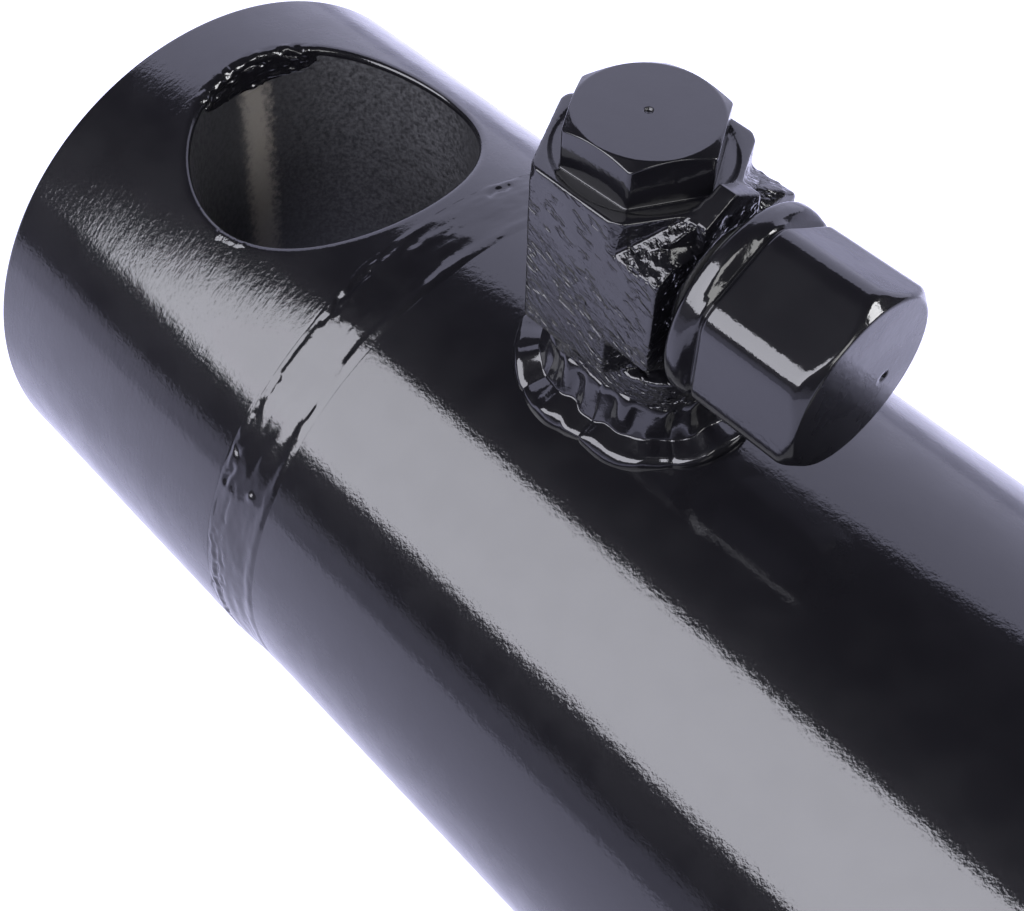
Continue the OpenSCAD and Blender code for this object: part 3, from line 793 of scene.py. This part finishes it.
def side_plug(port):
    """Hexagon plug with a round collar and a plain punch mark on its end."""
    node = port.prefix + "_side_plug"
    flats = 24.5 * MM
    collar_r = (high(node) - low(node))[1] / 2
    collar_t = 3.4 * MM
    end = port.reach
    top_r = flats / 2 - 0.3 * MM
    outline = hexagon(flats, 2.6 * MM, turn=math.radians(30), steps=10)

    def corners(r):
        start = port.face + collar_t
        drop = (r - top_r) * 0.9
        return [[0.5 * MM, port.face], [collar_r - 0.6 * MM, port.face], [collar_r, port.face + 0.6 * MM],
                [collar_r, start - 1.2 * MM], [r - 0.1 * MM, start - 0.1 * MM],
                [r - 0.65 * MM, start + 0.35 * MM], [r, start + 0.95 * MM],
                [r, end - drop - 0.3 * MM], [top_r, end], [CENTRE_R, end]]

    # the punch mark's centre from the plug's axis, and the radius and depth of each ring round it, in mm
    mark = np.array([4.6, -2.2]) * MM
    mark_rings = ((1.3, 0), (0.8, 0), (0.7, 0.04), (0.5, 0.2), (0.25, 0.28), (0.02, 0.3))
    rounding = [0, 0.3 * MM, 0.4 * MM, 0.9 * MM, 0.2 * MM, 0.12 * MM, 0.2 * MM, 0.6 * MM, 0.3 * MM, 0]
    rows = lofted(outline, corners, rounding)[:-1]
    # the mark's rings are joined to the end face's edge
    ring = rows[-1]
    across = ring[:, :2] / np.linalg.norm(ring[:, :2], axis=1)[:, None]
    dimple = [np.column_stack([mark + r * MM * across, np.full(len(ring), end - depth * MM)])
              for r, depth in mark_rings]
    rows = np.concatenate([rows, dimple])
    # local Z runs out of the port: turn it to X
    rows = np.stack([rows[..., 2], rows[..., 0], rows[..., 1] + port.side_z], axis=-1)
    shell = Shell().grid(port.world(rows)).cap(port.world(rows[0])).cap(port.world(rows[-1]))
    shell.piece(node + "_head", "barrel", node, PAINT, paint_plain)


for prefix in ("base_port", "head_port"):
    port = Port(prefix)
    elbow(port)
    foot_weld(port)
    top_plug(port)
    side_plug(port)


# ---- rod end ----

def rod():
    """Chromed rod with its spigot and welding neck."""
    x0, x1 = low("piston_rod")[0], high("piston_rod")[0]
    spigot_r = 19.05 * MM
    shoulder = high("piston")[0]
    eye_back = EYE_X - EYE_R
    neck_r = ROD_R - 7 * MM
    corners = [[x0, AXIS_R], [x0, spigot_r - 2 * MM], [x0 + 2 * MM, spigot_r], [shoulder, spigot_r],
               [shoulder, ROD_R - 1 * MM], [shoulder + 1 * MM, ROD_R], [eye_back - 8 * MM, ROD_R],
               [eye_back - 1 * MM, neck_r], [x1, neck_r], [x1, AXIS_R]]
    rows = turned(stretched(rounded(corners, 0.4 * MM), 20 * MM), 256)
    shell = Shell().grid(rows).cap(rows[0]).cap(rows[-1])
    shell.piece("rod_chromed", "rod", "piston_rod", "hard_chrome", chrome)


def rod_eye():
    """Round eye with softly broken edges."""
    profile = rounded([[-EYE_TOP, BUSH_R], [-EYE_TOP, EYE_R], [EYE_TOP, EYE_R], [EYE_TOP, BUSH_R]],
                      [0.4 * MM, 1.4 * MM, 1.4 * MM, 0.4 * MM], closed=True)
    rows = about_z(turned(stretched(profile, 6 * MM), 288), EYE_X)
    Shell().grid(rows, wrap_rows=True).piece("rod_eye_ring", "rod", "rod_eye", PAINT, paint_plain)


def bushing():
    """Hardened bushing pressed into the eye."""
    profile = rounded([[-EYE_TOP, PIN_R], [-EYE_TOP, BUSH_R], [EYE_TOP, BUSH_R], [EYE_TOP, PIN_R]],
                      [0.9 * MM, 0.3 * MM, 0.3 * MM, 0.9 * MM], closed=True)
    rows = about_z(turned(stretched(profile, 6 * MM), 256), EYE_X)
    shell = Shell().grid(rows, wrap_rows=True)
    shell.piece("rod_eye_bushing_sleeve", "rod", "rod_eye_bushing", "bushing_steel", bush_steel)


def eye_weld():
    """Rippled fillet between the rod's end and the eye."""
    x0 = low("rod_eye_weld")[0]
    columns, rows = 540, 30
    a = np.linspace(0, 2 * math.pi, columns, endpoint=False)
    ring = np.stack([np.zeros(columns), np.sin(a), np.cos(a)], axis=1) * ROD_R
    spread = (4.3 + 0.35 * noise(ring, 7 * MM, 31)) * MM
    toe_r = ROD_R + spread
    toe_x = EYE_X - np.sqrt(EYE_R**2 - (toe_r * np.sin(a)) ** 2)
    t = np.linspace(0, 1, rows)[:, None]
    start = x0 + (0.8 + 0.4 * noise(ring, 6 * MM, 32)) * MM
    x = start + (toe_x - start) * t
    radius = ROD_R + spread * (0.75 * t + 0.25 * np.sin(math.pi / 2 * t))
    ripple = 0.12 * MM * np.cos(a * 46 + 2.2 * np.sin(math.pi * t)) * np.sin(math.pi * t)
    lumps = 0.25 * MM * noise(np.stack([x, radius * np.sin(a), radius * np.cos(a)], axis=-1), 3 * MM, 33)
    radius = radius + ripple + lumps * np.sin(math.pi * t)
    x[-1] += 1 * MM
    radius[0] = ROD_R - 0.4 * MM
    outer = np.stack([x, radius * np.sin(a), radius * np.cos(a)], axis=-1)
    inner_r = ROD_R - 1 * MM
    inner = [np.stack([row, inner_r * np.sin(a), inner_r * np.cos(a)], axis=-1) for row in (x[-1], x[0])]
    shell = Shell().grid(np.concatenate([outer, inner]), wrap_rows=True)
    shell.piece("rod_eye_weld_bead", "rod", "rod_eye_weld", PAINT, paint_plain)


rod()
rod_eye()
bushing()
eye_weld()


# ---- carried-over CAD nodes ----

slots = {row["node"]: row["material_slot"] for row in frame["record"]["subparts"]}
for name, obj in frame["nodes"].items():
    material = SLOT_MATERIALS[slots[name]]
    if not obj.material_slots:
        obj.data.materials.append(material)
    for slot in obj.material_slots:
        slot.material = material


# ---- floor, light and camera ----

def add(name, data):
    """Links a new object to the scene."""
    obj = bpy.data.objects.new(name, data)
    bpy.context.scene.collection.objects.link(obj)
    return obj


def floor():
    """Plain pale table just under the lowest point, glowing softly. Its reflection dims with distance, and
    has a painted contact shadow close to the cylinder.
    """
    size, z = 4.0, cad_box[0].z - 0.1 * MM
    plain_glow = 1.15
    data = bpy.data.meshes.new("floor")
    corners = [(-size, -size, z), (size, -size, z), (size, size, z), (-size, size, z)]
    data.from_pydata(corners, [], [(0, 1, 2, 3)])
    n = Nodes("pale_floor")
    split = n.new("ShaderNodeSeparateXYZ")
    n.link(n.place, split.inputs[0])
    away = n.math("ABSOLUTE", split.outputs["Y"])
    # painted contact shadow: as reflected, the floor glows less close to the cylinder
    contact_shadow = n.ramp(away, 0.055, 0.2, 0.82, 1.2)
    # reflections lose light a third of a metre out; on the -Y side they lose least behind the base end
    ahead = n.ramp(n.math("DIVIDE", split.outputs["X"], away), -1.05, -0.3, 0.62, 0.17)
    behind = n.ramp(split.outputs["Y"], -0.01, 0.01)
    far = n.math("ADD", ahead, n.math("MULTIPLY", behind, n.math("SUBTRACT", 0.45, ahead)))
    edge = n.ramp(away, 0.335, 0.36)
    loss = n.math("MULTIPLY", edge, n.math("SUBTRACT", far, 1.0))
    dimmed = n.math("MULTIPLY", contact_shadow, n.math("ADD", 1.0, loss))
    glossy = n.new("ShaderNodeLightPath").outputs["Is Glossy Ray"]
    change = n.math("MULTIPLY", glossy, n.math("SUBTRACT", dimmed, plain_glow))
    glow = n.math("ADD", plain_glow, change)
    n.set(Base_Color=(0.12, 0.12, 0.155, 1), Roughness=0.9, Specular_IOR_Level=0.0,
          Emission_Color=(1.0, 1.0, 1.36, 1), Emission_Strength=glow)
    data.materials.append(n.material)
    add("floor", data)


def softbox(name, corners, levels, tint):
    """A glowing sheet with its own radiance at each corner. Only the side towards the object glows."""
    corners = [Vector(c) for c in corners]
    if (corners[1] - corners[0]).cross(corners[2] - corners[0]).dot(corners[0]) > 0:
        corners, levels = corners[::-1], levels[::-1]
    data = bpy.data.meshes.new(name)
    data.from_pydata(corners, [], [range(len(corners))])
    data.attributes.new("glow", "FLOAT", "POINT").data.foreach_set("value", levels)
    n = Nodes(name)
    glow = n.attribute("glow")
    front = n.math("SUBTRACT", 1.0, n.new("ShaderNodeNewGeometry").outputs["Backfacing"])
    n.set(Base_Color=(0, 0, 0, 1), Specular_IOR_Level=0.0, Emission_Color=(*tint, 1),
          Emission_Strength=n.math("MULTIPLY", glow, front))
    data.materials.append(n.material)
    obj = add(name, data)
    obj.visible_camera = False


def area_light(name, place, aim, size, watts):
    """A square soft light at place that faces aim."""
    data = bpy.data.lights.new(name, "AREA")
    data.size, data.energy = size, watts
    obj = add(name, data)
    obj.location = place
    obj.rotation_mode = "QUATERNION"
    obj.rotation_quaternion = (Vector(aim) - Vector(place)).to_track_quat("-Z", "Y")
    obj.visible_camera = False


def world():
    """White surround for the view and for soft light; dark for what the gloss paint reflects."""
    seen, reflected = 1.05, 0.03
    scene_world = bpy.data.worlds.new("studio")
    bpy.context.scene.world = scene_world
    scene_world.use_nodes = True
    scene_world.cycles.sampling_method = "NONE"
    tree = scene_world.node_tree
    bright = tree.nodes["Background"]
    bright.inputs["Color"].default_value = (1, 1, 1, 1)
    bright.inputs["Strength"].default_value = seen
    dark = tree.nodes.new("ShaderNodeBackground")
    dark.inputs["Color"].default_value = (1.0, 1.0, 1.2, 1)
    dark.inputs["Strength"].default_value = reflected
    path = tree.nodes.new("ShaderNodeLightPath")
    blend = tree.nodes.new("ShaderNodeMixShader")
    tree.links.new(path.outputs["Is Glossy Ray"], blend.inputs[0])
    tree.links.new(bright.outputs[0], blend.inputs[1])
    tree.links.new(dark.outputs[0], blend.inputs[2])
    tree.links.new(blend.outputs[0], tree.nodes["World Output"].inputs["Surface"])


def lights():
    """A long softbox on the -Y side, a small one past the rod end, a dim sloping one on +Y, a soft fill."""
    reach = 1.2

    def around(x, degrees):
        """A point at that angle from +Z towards -Y about the cylinder's axis."""
        return x, -reach * math.sin(math.radians(degrees)), reach * math.cos(math.radians(degrees))

    long = [around(-0.74, 25.5), around(0.7, 25.5), around(0.7, 71.5), around(-0.85, 71), around(-1.1, 66.5)]
    small = [(1.35, 0.55, 0.95), (1.1, 0.95, 0.95), (1.25, 1.1, 0.5), (1.5, 0.7, 0.5)]
    sloping = [(-1.5, -0.11, 1.27), (0.45, 1.1, 0.77), (0.55, 1.85, -0.58), (-1.4, 0.64, -0.08)]
    softbox("softbox_long", long, [9.2, 10.8, 10.8, 9.2, 8.6], (1.0, 1.0, 1.1))
    softbox("softbox_small", small, [20, 20, 20, 20], (1.0, 1.0, 1.03))
    softbox("softbox_sloping", sloping, [2.0, 2.0, 1.0, 1.0], (1.0, 1.0, 1.34))
    area_light("fill_rod_end", (2.0, -0.3, 1.2), (0.4, 0, 0), 0.9, 18)


def camera():
    """A 52 mm lens above and in front of the base end, looking down its length."""
    place_in_tube_radii = (3.1352, -2.1843, 4.0821)
    azimuth, elevation, roll = (math.radians(v) for v in (46.061, 51.402, 1.567))
    level = math.cos(elevation)
    back = Vector((math.sin(azimuth) * level, -math.cos(azimuth) * level, math.sin(elevation)))
    right = Vector((0, 0, 1)).cross(back).normalized()
    up = back.cross(right)
    rolled_right = right * math.cos(roll) + up * math.sin(roll)
    rolled_up = up * math.cos(roll) - right * math.sin(roll)
    data = bpy.data.cameras.new("camera")
    data.lens, data.sensor_width = 52.12, 36.0
    data.clip_start, data.clip_end = 0.01, 50
    obj = add("camera", data)
    obj.rotation_mode = "QUATERNION"
    obj.rotation_quaternion = Matrix((rolled_right, rolled_up, back)).transposed().to_quaternion()
    obj.location = Vector(place_in_tube_radii) * TUBE_R
    bpy.context.scene.camera = obj


floor()
world()
lights()
camera()
bpy.context.scene.view_settings.view_transform = "Standard"
